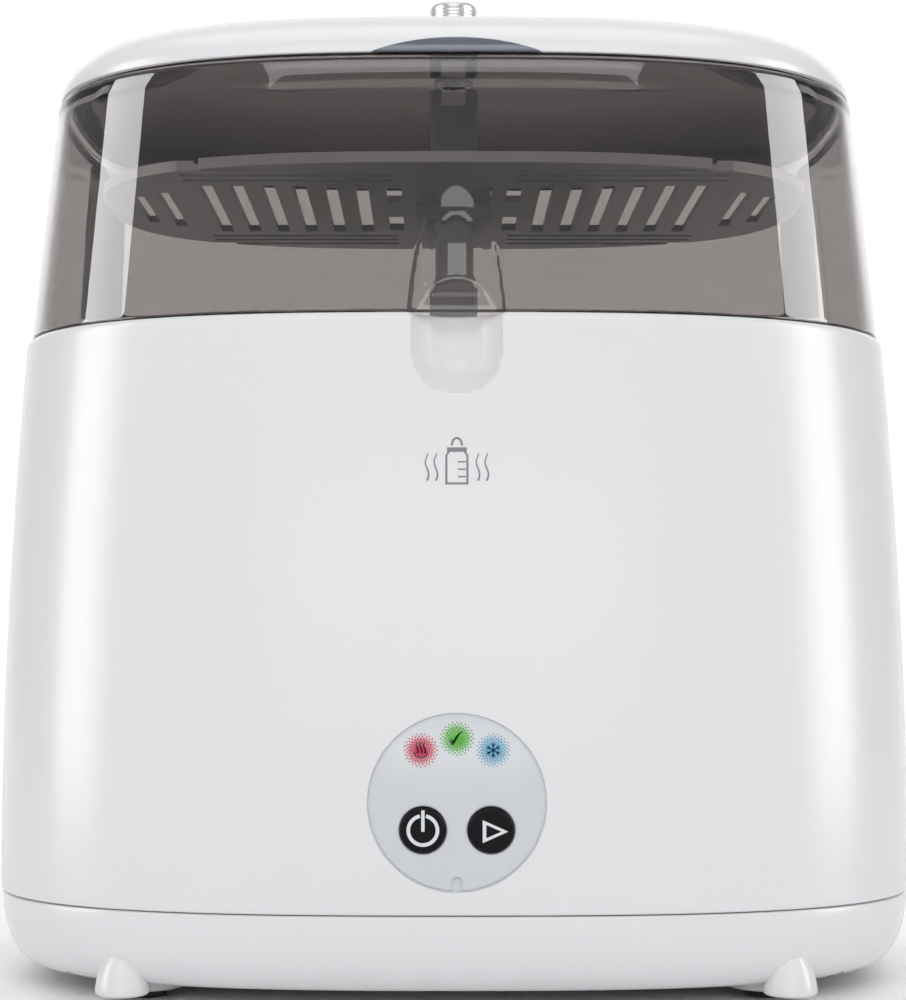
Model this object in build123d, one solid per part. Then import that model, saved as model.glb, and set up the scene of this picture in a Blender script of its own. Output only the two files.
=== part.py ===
from build123d import *
import math
import os

# Electric steam steriliser for feeding bottles.  Millimetres, +Z up, front towards -Y.
# Every horizontal section of the housing and lid is one oval: a superellipse whose
# depth is a fixed share of its width.  The model is drawn round the oval's own centre
# and moved by CENTRE_Y when it is written, so that the whole object is centred in depth.

# ---- driving dimensions: outline -------------------------------------------------
WIDEST_HALF = 151.0       # half-width where the body is widest
WIDEST_Z = 42.0
DEPTH_RATIO = 0.687       # depth of an oval over its width
OVAL_POWER = 2.8          # squareness of the oval; 2 would be an ellipse
OVAL_POINTS = 20
SEAM_Z = 29.5             # joint of base and body
RIM_Z = 208.0             # top of the body
RIM_TAPER = 8.3           # loss of half-width from the widest level to the rim
TAPER_POWER = 1.75
COVER_RIM_HALF = 141.3    # lid window, at the rim
CAP_Z = 287.2             # lower edge of the lid cap
CAP_HALF = 132.1
CAP_SHOULDER = 20.0       # height of the cap's elliptical shoulder
SHOULDER_SHARE = 0.661    # share of the half-depth that the shoulder takes
CAP_CROWN = 4.0
CAP_LONG = 0.412          # how much less the cap draws in across than from front to back
KNOB_TOP_Z = 329.0
FOOT_X = 96.5
FOOT_Y = 65.5

# ---- driving dimensions: walls and fits ------------------------------------------
WALL = 2.6                # body and base
COVER_WALL = 2.2
CAP_WALL = 2.4
LINER_WALL = 2.2
SEAM_GAP = 0.3
LOOSE = 0.3               # clearance of parts that move past each other
SCREW_R = 1.5             # M3
HEAD_R = 2.9

# ---- driving dimensions: moving parts --------------------------------------------
HINGE_Y = 105.5           # lid hinge axis, behind the body
HINGE_Z = 208.0
KNUCKLE_R = 4.5
HINGE_PIN_R = 2.0
PANEL_Z = 63.0
PANEL_FRONT = -103.8
BUTTON_PROUD = 0.9        # also the travel of a button
BUTTON_R = 6.7
BUTTON_X = 10.0
BUTTON_Z = 55.0
TRAY_Z = 259.0            # underside of the upper tray at its highest stop
MAST_WIDTH = 16.4
MAST_DEPTH = 10.0
MAST_TOP_Z = 299.5

BUTTON_FRONT = PANEL_FRONT - BUTTON_PROUD
HINGE_REAR = HINGE_Y + KNUCKLE_R
CENTRE_Y = -(HINGE_REAR + BUTTON_FRONT) / 2

os.makedirs("parts", exist_ok=True)


def write(name, made):
    """Move a finished sub-part, or a group of like ones, and write its file."""
    place = Location((0, CENTRE_Y, 0))
    if isinstance(made, list):
        group = Compound(children=[piece.moved(place) for piece in made])
        export_step(group, "parts/" + name + ".step")
    else:
        export_step(made.moved(place), "parts/" + name + ".step")


# ---- shared shapes ---------------------------------------------------------------
def oval_face(half_width, half_depth, z):
    points = []
    for i in range(OVAL_POINTS):
        turn = 2 * math.pi * i / OVAL_POINTS
        angle = math.atan2(half_depth * math.sin(turn), half_width * math.cos(turn))
        across = (abs(math.cos(angle)) / half_width) ** OVAL_POWER
        along = (abs(math.sin(angle)) / half_depth) ** OVAL_POWER
        radius = (across + along) ** (-1 / OVAL_POWER)
        points.append((radius * math.cos(angle), radius * math.sin(angle), z))
    return make_face(Spline(*points, periodic=True))


def stack(levels, inset=0.0):
    """Solid through ovals given as (height, half-width, own inset)."""
    faces = []
    for z, half, own in levels:
        faces.append(oval_face(half - own - inset, DEPTH_RATIO * half - own - inset, z))
    return loft(faces, ruled=True)


def slab(half_width, half_depth, z0, z1):
    return extrude(oval_face(half_width, half_depth, z0), z1 - z0)


def block(x0, x1, y0, y1, z0, z1):
    centre = ((x0 + x1) / 2, (y0 + y1) / 2, (z0 + z1) / 2)
    return Pos(*centre) * Box(x1 - x0, y1 - y0, z1 - z0)


def rod(x, y, z0, z1, radius):
    return Pos(x, y, (z0 + z1) / 2) * Cylinder(radius, z1 - z0)


def rod_y(x, z, y0, y1, radius):
    return Pos(x, (y0 + y1) / 2, z) * Rot(90, 0, 0) * Cylinder(radius, y1 - y0)


def rod_x(y, z, x0, x1, radius):
    return Pos((x0 + x1) / 2, y, z) * Rot(0, 90, 0) * Cylinder(radius, x1 - x0)


def spun(points):
    """Solid of revolution about Z from its (radius, height) outline."""
    outline = Polyline(*[(r, 0, z) for r, z in points], close=True)
    return revolve(make_face(outline), Axis.Z)


def corners(x, y):
    return [(x, y), (-x, y), (-x, -y), (x, -y)]


# ---- outlines of the housing and lid ---------------------------------------------
def body_half(z):
    climb = max(0.0, (z - WIDEST_Z) / (RIM_Z - WIDEST_Z))
    return WIDEST_HALF - RIM_TAPER * climb ** TAPER_POWER


BODY_BOTTOM = SEAM_Z + SEAM_GAP
RIM_ROUND_Z = RIM_Z - 2.4
RIM_ROUND = 1.6
BODY_HEIGHTS = [BODY_BOTTOM, WIDEST_Z, 83.0, 124.0, 165.0, RIM_ROUND_Z]
BODY_LEVELS = [(z, body_half(z), 0.0) for z in BODY_HEIGHTS]
BODY_OUTER = BODY_LEVELS + [(RIM_Z, body_half(RIM_Z), RIM_ROUND)]
BODY_INNER = BODY_LEVELS + [(RIM_Z, body_half(RIM_Z), 0.0)]

# Rounded hull of the base: (height, inset from the seam's oval).
BASE_FLOOR = 5.2
HULL = [(BASE_FLOOR, 17.0), (6.0, 11.0), (9.0, 6.0), (14.0, 2.7), (20.0, 0.8), (SEAM_Z, 0.0)]
SEAM_HALF = 150.6
BASE_OUTER = [(z, SEAM_HALF, own) for z, own in HULL]
BASE_INNER = [(BASE_FLOOR + WALL, SEAM_HALF, 12.5), (9.6, SEAM_HALF, 7.5)]
BASE_INNER += [(z, SEAM_HALF, own) for z, own in HULL[3:]]

COVER_Z = RIM_Z + SEAM_GAP
LEDGE_Z = CAP_Z - 0.6
COVER_LEVELS = [(COVER_Z, COVER_RIM_HALF, 0.0), (LEDGE_Z, CAP_HALF + 0.6, 0.0)]
SKIRT_Z = 202.3
SKIRT_INSET = WALL + 1.0


def dome_levels(z0, half, top_z):
    """Ovals of the cap: an elliptical shoulder, then a nearly flat crown."""
    levels = []
    for share in (0.0, 0.02, 0.06, 0.12, 0.2, 0.32, 0.48, 0.68):
        shoulder = math.sqrt(1 - max(0.0, 1 - share / SHOULDER_SHARE) ** 2)
        crown = 1 - (1 - share) ** 2
        rise = (CAP_SHOULDER * shoulder + CAP_CROWN * crown) / (CAP_SHOULDER + CAP_CROWN)
        around = half * (1 + share * (DEPTH_RATIO - CAP_LONG) / (1 - DEPTH_RATIO))
        inset = around - half * (1 - CAP_LONG * share)
        levels.append((z0 + rise * (top_z - z0), around, inset))
    return levels


CROWN_Z = CAP_Z + CAP_SHOULDER + CAP_CROWN
CAP_TOP_Z = dome_levels(CAP_Z, CAP_HALF, CROWN_Z)[-1][0]


SCOOP_FOOT_Z = 197.4
BODY_SCOOP = (-102.3, 14.1, 18.0)     # axis in depth, radius, height above the rim
COVER_SCOOP = (-106.6, 16.5, 59.0)


def scoop_tool(axis_y, radius, reach_up, grow):
    """Finger recess: an upright bullet, round at the foot and drawn out at the top."""
    size = radius + grow
    column = rod(0, axis_y, SCOOP_FOOT_Z, RIM_Z, size)
    foot = Pos(0, axis_y, SCOOP_FOOT_Z) * Sphere(size)
    tall = reach_up + grow
    arch = EllipticalCenterArc((0, 0), tall, size, start_angle=0, arc_size=90)
    half_egg = make_face(arch + Polyline((0, size), (0, 0), (tall, 0)))
    egg = revolve(half_egg, Axis.X)
    return column + foot + Pos(0, axis_y, RIM_Z) * Rot(0, -90, 0) * egg


def body_scoop(grow=0.0):
    return scoop_tool(*BODY_SCOOP, grow)


def cover_scoop(grow=0.0):
    return scoop_tool(*COVER_SCOOP, grow)


# ---- housing ---------------------------------------------------------------------
PANEL_HOLE_R = 26.4
GLAND_HOLE_R = 6.3
FOOT_BOSS_R = 12.0
FOOT_BOSS_Z = 2.8
FOOT_PAD_R = 6.4
FOOT_PAD_TOP_Z = 4.8
VENT_X = 58.0             # middle of each row of air slots in the floor
VENT_PITCH = 7.0
VENT_COUNT = 7
POWER_X = 46.0            # power board, over the floor of the base
POWER_Y = 30.0
POWER_Z = 18.0
POWER_POST_X = 36.0
POWER_POST_Y = 24.0
POWER_T = 1.6
BOSS_X = 118.0
BOSS_Y = 66.0
BOSS_R = 4.6
BOSS_JOINT_Z = 33.4
GLAND_X = 34.0
GLAND_Z = 48.0
GLAND_SEAT_Y = 102.7
HINGE_SCREW_X = 16.0
BODY_SOLID = stack(BODY_OUTER)


def body_shell():
    outer = BODY_SOLID - body_scoop()
    inner = stack(BODY_INNER, WALL) - body_scoop(WALL)
    shell = outer - inner
    ledge_half = body_half(198.0)
    ledge = slab(ledge_half - 1.2, DEPTH_RATIO * ledge_half - 1.2, 196.4, 199.2)
    ledge -= slab(ledge_half - 8.0, DEPTH_RATIO * ledge_half - 8.0, 196.0, 199.6)
    shell += ledge - body_scoop()
    for x, y in corners(BOSS_X, BOSS_Y):
        out_x = math.copysign(BOSS_X + 25.0, x)
        boss = rod(x, y, BOSS_JOINT_Z, 60.0, BOSS_R)
        boss += block(min(x, out_x), max(x, out_x), y - 1.2, y + 1.2, BOSS_JOINT_Z, 60.0)
        boss &= BODY_SOLID
        shell = shell + boss - rod(x, y, BOSS_JOINT_Z - 1, 50.0, SCREW_R)
    shell -= rod_y(0, PANEL_Z, -120, -95, PANEL_HOLE_R)
    shell -= rod_y(GLAND_X, GLAND_Z, 90, 120, GLAND_HOLE_R)
    shell -= rod_y(GLAND_X, GLAND_Z, GLAND_SEAT_Y, 120, 9.0)
    for x in (-HINGE_SCREW_X, HINGE_SCREW_X):
        shell -= rod_y(x, 191.0, 90, 120, SCREW_R)
    return shell


def base_pan():
    hull = stack(BASE_OUTER)
    pan = hull - stack(BASE_INNER, WALL)
    seat_half = DEPTH_RATIO * SEAM_HALF
    tongue_out = WALL + 0.3
    tongue_in = tongue_out + 1.6
    tongue = slab(SEAM_HALF - tongue_out, seat_half - tongue_out, SEAM_Z - 4.0, 33.0)
    tongue -= slab(SEAM_HALF - tongue_in, seat_half - tongue_in, SEAM_Z - 5.0, 34.0)
    pan += tongue
    tall = slab(SEAM_HALF - tongue_in, seat_half - tongue_in, SEAM_Z, 40.0) + hull
    for x, y in corners(BOSS_X, BOSS_Y):
        pan += rod(x, y, 4.0, BOSS_JOINT_Z - 0.2, BOSS_R) & tall
    for x, y in corners(BOSS_X, BOSS_Y):
        pan -= rod(x, y, 0.0, 40.0, SCREW_R + 0.15)
        pan -= rod(x, y, 0.0, 14.0, HEAD_R + 0.4)
    for x, y in corners(FOOT_X, FOOT_Y):
        pan += rod(x, y, FOOT_BOSS_Z, BASE_FLOOR + WALL, FOOT_BOSS_R)
    for x, y in corners(FOOT_X, FOOT_Y):
        pan -= rod(x, y, 0.0, FOOT_PAD_TOP_Z, FOOT_PAD_R + 0.1)
    for x, y in corners(POWER_POST_X, POWER_POST_Y):
        post = rod(POWER_X + x, POWER_Y + y, BASE_FLOOR + 1, POWER_Z, 3.2)
        pan += post - rod(POWER_X + x, POWER_Y + y, 9.0, 20.0, SCREW_R)
    for side in (-1, 1):
        for i in range(VENT_COUNT):
            x = side * VENT_X + (i - (VENT_COUNT - 1) / 2) * VENT_PITCH
            pan -= block(x - 1.6, x + 1.6, -58, -34, 0, 10)
    return pan


def rubber_foot(x, y):
    return rod(x, y, 0.0, FOOT_PAD_TOP_Z, FOOT_PAD_R)


def base_screws():
    screws = []
    for x, y in corners(BOSS_X, BOSS_Y):
        screws.append(rod(x, y, 14.0, 46.0, SCREW_R) + rod(x, y, 11.6, 14.0, HEAD_R))
    return screws


# ---- chamber ---------------------------------------------------------------------
LINER_FLOOR_Z = 64.0
LINER_TOP_Z = 199.4
LINER_BOTTOM = (122.0, 76.0)
LINER_TOP = (131.0, 84.0)
PLATE_HOLE_R = 50.5
CLAMP_SCREW_R = 61.5
CLAMP_SCREWS = 6


def around(radius, count, start=0.0):
    places = []
    for i in range(count):
        angle = math.radians(start + 360.0 * i / count)
        places.append((radius * math.cos(angle), radius * math.sin(angle)))
    return places


def chamber_liner():
    bottom = oval_face(LINER_BOTTOM[0], LINER_BOTTOM[1], LINER_FLOOR_Z)
    top = oval_face(LINER_TOP[0], LINER_TOP[1], LINER_TOP_Z + 2.2)
    well = loft([bottom, top], ruled=True)
    wall = LINER_WALL
    bottom_in = oval_face(LINER_BOTTOM[0] - wall, LINER_BOTTOM[1] - wall, LINER_FLOOR_Z + wall)
    top_in = oval_face(LINER_TOP[0] - wall, LINER_TOP[1] - wall, LINER_TOP_Z + 3.0)
    hollow = loft([bottom_in, top_in], ruled=True)
    rim_half = body_half(200.0) - WALL - 0.8
    rim_deep = DEPTH_RATIO * body_half(200.0) - WALL - 0.8
    flange = slab(rim_half, rim_deep, LINER_TOP_Z, LINER_TOP_Z + 2.2)
    flange -= body_scoop(WALL + 0.4)
    liner = well + flange - hollow
    liner -= rod(0, 0, LINER_FLOOR_Z - 5, LINER_FLOOR_Z + 5, PLATE_HOLE_R)
    for x, y in around(CLAMP_SCREW_R, CLAMP_SCREWS):
        liner += rod(x, y, 61.2, LINER_FLOOR_Z + 0.5, 3.4)
        liner -= rod(x, y, 60.0, 65.0, SCREW_R)
    return liner


def plate_seal():
    return spun([(51.0, 62.4), (57.0, 62.4), (57.0, LINER_FLOOR_Z), (51.0, LINER_FLOOR_Z)])


def heating_plate():
    top_side = [(0, 59.4), (45.6, 59.4), (49.0, 62.4), (57.0, 62.4)]
    under_side = [(57.0, 61.4), (49.4, 61.4), (46.0, 58.4), (0, 58.4)]
    return spun(top_side + under_side)


def heat_spreader():
    return rod(0, 0, 55.9, 58.4, 44.0)


ELEMENT_R = 36.0
ELEMENT_TUBE = 3.3


def heating_element():
    arc = CenterArc((0, 0, 55.9 - ELEMENT_TUBE), ELEMENT_R, 110, 320)
    section = Plane(origin=arc @ 0, z_dir=arc % 0) * Circle(ELEMENT_TUBE)
    ring = sweep(section, path=arc)
    for end in (arc @ 0, arc @ 1):
        ring += rod(end.X, end.Y, 40.0, 55.9 - ELEMENT_TUBE, ELEMENT_TUBE)
    return ring


def clamp_ring():
    ring = spun([(50.5, 59.8), (66.0, 59.8), (66.0, 61.2), (50.5, 61.2)])
    for x, y in around(CLAMP_SCREW_R, CLAMP_SCREWS):
        ring -= rod(x, y, 59, 62, SCREW_R + 0.1)
    return ring


def clamp_screws():
    screws = []
    for x, y in around(CLAMP_SCREW_R, CLAMP_SCREWS):
        screws.append(rod(x, y, 59.8, 64.9, SCREW_R) + rod(x, y, 57.6, 59.8, HEAD_R))
    return screws


def thermostat():
    case = rod(0, 0, 47.5, 55.9, 8.4)
    case += block(-12.0, 12.0, -3.2, 3.2, 50.0, 51.2)
    return case


def thermal_fuse():
    capsule = rod_x(20.0, 53.7, -6.5, 6.5, 2.2)
    return capsule + block(-2.0, 2.0, 17.0, 23.0, 54.6, 55.9)


# ---- control panel ---------------------------------------------------------------
LENS_R = 3.2
LENSES = {"steam_lens": (-10.6, 78.4), "ready_lens": (0.0, 81.8), "cooling_lens": (10.6, 78.4)}
PANEL_R = 26.1
PANEL_BACK = -99.2
PANEL_FLANGE = -100.3
BOARD_FRONT = -87.0
BOARD_T = 1.6
POST_X = 20.5
POST_Z = 13.5
LED_R = 2.4
SWITCH_TOP = -90.5


def panel_disc():
    disc = rod_y(0, PANEL_Z, PANEL_FRONT, PANEL_BACK, PANEL_R)
    disc += rod_y(0, PANEL_Z, PANEL_FLANGE, PANEL_BACK, 28.6)
    for side in (-1, 1):
        disc -= rod_y(side * BUTTON_X, BUTTON_Z, -110, -90, BUTTON_R + LOOSE)
    for x, z in LENSES.values():
        disc -= rod_y(x, z, -110, -90, LENS_R)
    notch = block(-1.6, 1.6, -110, -102.6, PANEL_Z - 30, PANEL_Z - 23.2)
    notch += rod_y(0, PANEL_Z - 23.2, -110, -102.6, 1.6)
    disc -= notch
    for x, z in corners(POST_X, POST_Z):
        disc += rod_y(x, PANEL_Z + z, PANEL_BACK, BOARD_FRONT, 2.4)
    for x, z in corners(POST_X, POST_Z):
        disc -= rod_y(x, PANEL_Z + z, -96.0, BOARD_FRONT, 1.1)
    return disc


def indicator_lens(x, z):
    return rod_y(x, z, PANEL_FRONT - 0.05, -95.6, LENS_R)


def push_button(side):
    x = side * BUTTON_X
    cap = rod_y(x, BUTTON_Z, BUTTON_FRONT, PANEL_BACK + 0.1, BUTTON_R)
    cap += rod_y(x, BUTTON_Z, PANEL_BACK + 0.1, PANEL_BACK + 1.3, 8.0)
    return cap + rod_y(x, BUTTON_Z, PANEL_BACK + 1.3, -92.3, 2.0)


def control_board():
    board = block(-23, 23, BOARD_FRONT, BOARD_FRONT + BOARD_T, PANEL_Z - 19, PANEL_Z + 23)
    for x, z in corners(POST_X, POST_Z):
        board -= rod_y(x, PANEL_Z + z, -90, -80, 1.2)
    chip = block(-6, 6, BOARD_FRONT + BOARD_T, BOARD_FRONT + 3.4, PANEL_Z - 4, PANEL_Z + 8)
    return board + chip


def board_screws():
    screws = []
    back = BOARD_FRONT + BOARD_T
    for x, z in corners(POST_X, POST_Z):
        shank = rod_y(x, PANEL_Z + z, -94.0, back, 1.1)
        screws.append(shank + rod_y(x, PANEL_Z + z, back, back + 1.6, 2.1))
    return screws


def key_switches():
    switches = []
    for side in (-1, 1):
        x = side * BUTTON_X
        case = block(x - 3, x + 3, SWITCH_TOP, BOARD_FRONT, BUTTON_Z - 3, BUTTON_Z + 3)
        switches.append(case + rod_y(x, BUTTON_Z, SWITCH_TOP - 0.8, SWITCH_TOP, 1.7))
    return switches


def indicator_leds():
    lamps = []
    for x, z in LENSES.values():
        collar = rod_y(x, z, -88.2, BOARD_FRONT, LED_R + 0.4)
        lamps.append(collar + rod_y(x, z, -92.0, -88.2, LED_R) + Pos(x, -92.0, z) * Sphere(LED_R))
    return lamps


# ---- power side ------------------------------------------------------------------
def power_board():
    half_x = POWER_POST_X + 5
    half_y = POWER_POST_Y + 5
    board = block(POWER_X - half_x, POWER_X + half_x, POWER_Y - half_y, POWER_Y + half_y,
                  POWER_Z, POWER_Z + POWER_T)
    for x, y in corners(POWER_POST_X, POWER_POST_Y):
        board -= rod(POWER_X + x, POWER_Y + y, 10, 30, SCREW_R + 0.1)
    return board


def power_board_screws():
    screws = []
    top = POWER_Z + POWER_T
    for x, y in corners(POWER_POST_X, POWER_POST_Y):
        shank = rod(POWER_X + x, POWER_Y + y, 10.0, top, SCREW_R)
        screws.append(shank + rod(POWER_X + x, POWER_Y + y, top, top + 2.0, HEAD_R))
    return screws


def on_power_board(x, y, width, depth, height):
    left = POWER_X + x
    front = POWER_Y + y
    foot = POWER_Z + POWER_T
    return block(left, left + width, front, front + depth, foot, foot + height)


def power_relay():
    return on_power_board(-26, -12, 19, 16, 15)


def transformer():
    return on_power_board(0, -16, 28, 24, 16)


def terminal_block():
    screw_wells = on_power_board(-18, 12, 32, 9, 10)
    for i in range(4):
        screw_wells -= rod(POWER_X - 14 + 8 * i, POWER_Y + 16.5, 26.0, 40.0, 2.2)
    return screw_wells


def cord_gland():
    body = rod_y(GLAND_X, GLAND_Z, 92.0, GLAND_SEAT_Y, 6.2)
    body += rod_y(GLAND_X, GLAND_Z, GLAND_SEAT_Y, GLAND_SEAT_Y + 2.4, 8.6)
    return body - rod_y(GLAND_X, GLAND_Z, 80, 120, 3.6)


def gland_nut():
    hexagon = RegularPolygon(radius=9.4, side_count=6)
    nut = extrude(Plane.XZ * hexagon, -4.0)
    return Pos(GLAND_X, 95.2, GLAND_Z) * nut - rod_y(GLAND_X, GLAND_Z, 80, 120, 6.2)


# ---- hinge -----------------------------------------------------------------------
LUG_X = (29.0, 35.0, 47.0, 53.0)
ARM_GAP = 0.4
BRACKET_TOP = 203.0


def lug(x0, x1, wall_y, z0, z1):
    """Ear from a wall to the hinge axis, with a round end."""
    eye = rod_x(HINGE_Y, HINGE_Z, x0, x1, KNUCKLE_R)
    web = Polyline((wall_y, z0), (HINGE_Y, HINGE_Z - KNUCKLE_R * 0.9),
                   (HINGE_Y, HINGE_Z + KNUCKLE_R * 0.9), (wall_y, z1), close=True)
    plate = extrude(make_face(Plane.YZ * web), x1 - x0)
    return eye + Pos(x0, 0, 0) * plate


def hinge_bracket():
    plate = block(-56, 56, 90, 101.2, 182, BRACKET_TOP)
    for side in (-1, 1):
        for first, last in ((LUG_X[0], LUG_X[1]), (LUG_X[2], LUG_X[3])):
            x0, x1 = sorted((side * first, side * last))
            plate += lug(x0, x1, 98.6, 190.0, BRACKET_TOP)
        plate -= rod_x(HINGE_Y, HINGE_Z, side * 20 - 40, side * 20 + 40, HINGE_PIN_R)
    plate -= BODY_SOLID
    for x in (-HINGE_SCREW_X, HINGE_SCREW_X):
        plate -= rod_y(x, 191.0, 90, 120, SCREW_R + 0.1)
    return plate


def hinge_pins():
    pins = []
    for side in (-1, 1):
        x0, x1 = sorted((side * LUG_X[0], side * LUG_X[3]))
        pins.append(rod_x(HINGE_Y, HINGE_Z, x0 - 0.6, x1 + 0.6, HINGE_PIN_R))
    return pins


def bracket_screws():
    screws = []
    for x in (-HINGE_SCREW_X, HINGE_SCREW_X):
        screws.append(rod_y(x, 191.0, 95.0, 101.2, SCREW_R) + rod_y(x, 191.0, 101.2, 103.4, HEAD_R))
    return screws


# ---- lid -------------------------------------------------------------------------
DOME_INSET = CAP_WALL + 0.3
VENT_R = 4.4
LID_SCREW_Z = 226.0


def lid_outer():
    wall = stack(COVER_LEVELS)
    dome = stack(dome_levels(LEDGE_Z, CAP_HALF - DOME_INSET, CROWN_Z - DOME_INSET))
    return wall + dome


def lid_inner():
    under_ledge = LEDGE_Z - COVER_WALL
    wall = stack([(COVER_Z - 1, COVER_RIM_HALF, 0.0), (under_ledge, CAP_HALF + 0.6, 0.0)], COVER_WALL)
    deep = DOME_INSET + COVER_WALL
    return wall + stack(dome_levels(under_ledge, CAP_HALF - deep, CROWN_Z - deep))


def lid_window():
    rim = body_half(RIM_Z)
    rim_deep = DEPTH_RATIO * rim
    skirt = slab(rim - SKIRT_INSET, rim_deep - SKIRT_INSET, SKIRT_Z, COVER_Z + COVER_WALL)
    skirt_in = SKIRT_INSET + COVER_WALL
    skirt -= slab(rim - skirt_in, rim_deep - skirt_in, SKIRT_Z - 1, COVER_Z + 5)
    skirt -= block(-22, 22, -120, -60, SKIRT_Z - 1, COVER_Z)
    outer = lid_outer() - cover_scoop()
    inner = lid_inner() - cover_scoop(COVER_WALL)
    window = outer - inner + (skirt - cover_scoop())
    window -= block(-24, 24, -120, -60, SKIRT_Z - 10, COVER_Z)
    window -= rod(0, 0, 290, 330, VENT_R + 0.1)
    for x in (-HINGE_SCREW_X, HINGE_SCREW_X):
        window -= rod_y(x, LID_SCREW_Z, 80, 120, SCREW_R)
    return window


TAB_HALF = 25.8           # arched cut-out in the front edge of the cap
TAB_RISE = 4.5


def lid_cap():
    cap = stack(dome_levels(CAP_Z, CAP_HALF, CROWN_Z))
    cap -= stack(dome_levels(CAP_Z, CAP_HALF - CAP_WALL, CROWN_Z - CAP_WALL))
    tab_r = (TAB_HALF ** 2 + TAB_RISE ** 2) / (2 * TAB_RISE)
    cap -= rod_y(0, CAP_Z + TAB_RISE - tab_r, -110, -60, tab_r)
    return cap - rod(0, 0, 290, 330, VENT_R + 0.1)


KNOB_R = 8.1
NUT_TOP = CAP_TOP_Z - DOME_INSET - COVER_WALL - 1.5


def vent_knob():
    knob = rod(0, 0, CAP_TOP_Z, KNOB_TOP_Z, KNOB_R)
    knob = fillet(knob.edges().group_by(Axis.Z)[-1], 1.6)
    knob += rod(0, 0, NUT_TOP - 3.4, CAP_TOP_Z, VENT_R)
    knob -= rod(0, 0, 290, KNOB_TOP_Z - 5, 2.6)
    for turn in (0, 90):
        knob -= Pos(0, 0, CAP_TOP_Z + 4) * Rot(0, 90, turn) * Cylinder(1.3, 30)
    return knob


def vent_gasket():
    return rod(0, 0, NUT_TOP, NUT_TOP + 1.4, 6.8) - rod(0, 0, 300, 320, VENT_R + 0.1)


def vent_nut():
    hexagon = extrude(RegularPolygon(radius=6.6, side_count=6), 3.0)
    return Pos(0, 0, NUT_TOP - 3.0) * hexagon - rod(0, 0, 300, 320, VENT_R)


def lid_hinge_arms():
    plate = block(-56, 56, 88, 98.8, 214, 236)
    for side in (-1, 1):
        x0, x1 = sorted((side * (LUG_X[1] + ARM_GAP), side * (LUG_X[2] - ARM_GAP)))
        plate += lug(x0, x1, 96.0, 215.0, 230.0)
        plate -= rod_x(HINGE_Y, HINGE_Z, side * 20 - 40, side * 20 + 40, HINGE_PIN_R + 0.06)
    plate -= lid_outer()
    for x in (-HINGE_SCREW_X, HINGE_SCREW_X):
        plate -= rod_y(x, LID_SCREW_Z, 80, 120, SCREW_R + 0.1)
    return plate


def lid_screws():
    screws = []
    for x in (-HINGE_SCREW_X, HINGE_SCREW_X):
        shank = rod_y(x, LID_SCREW_Z, 93.4, 98.8, SCREW_R)
        screws.append(shank + rod_y(x, LID_SCREW_Z, 98.8, 101.0, HEAD_R))
    return screws


# ---- racks -----------------------------------------------------------------------
TRAY_HALF = (119.0, 68.5)
TRAY_T = 2.4
TRAY_LIP = 3.4
SLEEVE_RISE = 8.0         # sleeve round the mast, above the underside of the tray
SLOT_W = 4.4
SLOT_PITCH = 10.2
RACK_Z = 74.0
RACK_HALF = (113.0, 68.0)
PEG_X = 76.0
PEG_Y = 38.5
PEG_TOP = 132.0


def slots_across(z, first_x, count, half_length):
    """Straight slots, side by side, left and right of the mast."""
    cuts = []
    for side in (-1, 1):
        for i in range(count):
            x = side * (first_x + i * SLOT_PITCH)
            cuts.append(block(x - SLOT_W / 2, x + SLOT_W / 2, -half_length, half_length, z - 1, z + 4))
    return cuts


def slots_along(z, rows, x0, x1):
    """Long slots that follow the front and rear edges."""
    cuts = []
    for y in rows:
        for x_side in (-1, 1):
            left, right = sorted((x_side * x0, x_side * x1))
            cuts.append(block(left, right, y - 1.6, y + 1.6, z - 1, z + 4))
            cuts.append(block(left, right, -y - 1.6, -y + 1.6, z - 1, z + 4))
    return cuts


def mast_hole(z0, z1, gap):
    half_x = MAST_WIDTH / 2 + gap
    half_y = MAST_DEPTH / 2 + gap
    return block(-half_x, half_x, -half_y, half_y, z0, z1)


def upper_tray():
    tray = slab(TRAY_HALF[0], TRAY_HALF[1], TRAY_Z, TRAY_Z + TRAY_LIP)
    tray -= slab(TRAY_HALF[0] - 2.2, TRAY_HALF[1] - 2.2, TRAY_Z + TRAY_T, TRAY_Z + 20)
    for cut in slots_across(TRAY_Z, 30.5, 6, 36.0):
        tray -= cut
    for cut in slots_along(TRAY_Z, (43.5, 50.5, 57.5), 20.0, 88.0):
        tray -= cut
    for side in (-1, 1):
        for x in (10.0, 20.0):
            for y in (-22.5, 22.5):
                tray -= block(side * x - 2.6, side * x + 2.6, y - 11, y + 11, TRAY_Z - 1, TRAY_Z + 4)
        tray -= block(side * 97 - 2, side * 97 + 2, -26, 26, TRAY_Z - 1, TRAY_Z + 4)
        tray -= block(side * 106 - 2, side * 106 + 2, -20, 20, TRAY_Z - 1, TRAY_Z + 4)
    tray += block(-12.5, 12.5, -9.0, 9.0, TRAY_Z - 5, TRAY_Z + SLEEVE_RISE)
    return tray - mast_hole(TRAY_Z - 10, TRAY_Z + 20, 0.35)


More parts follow.
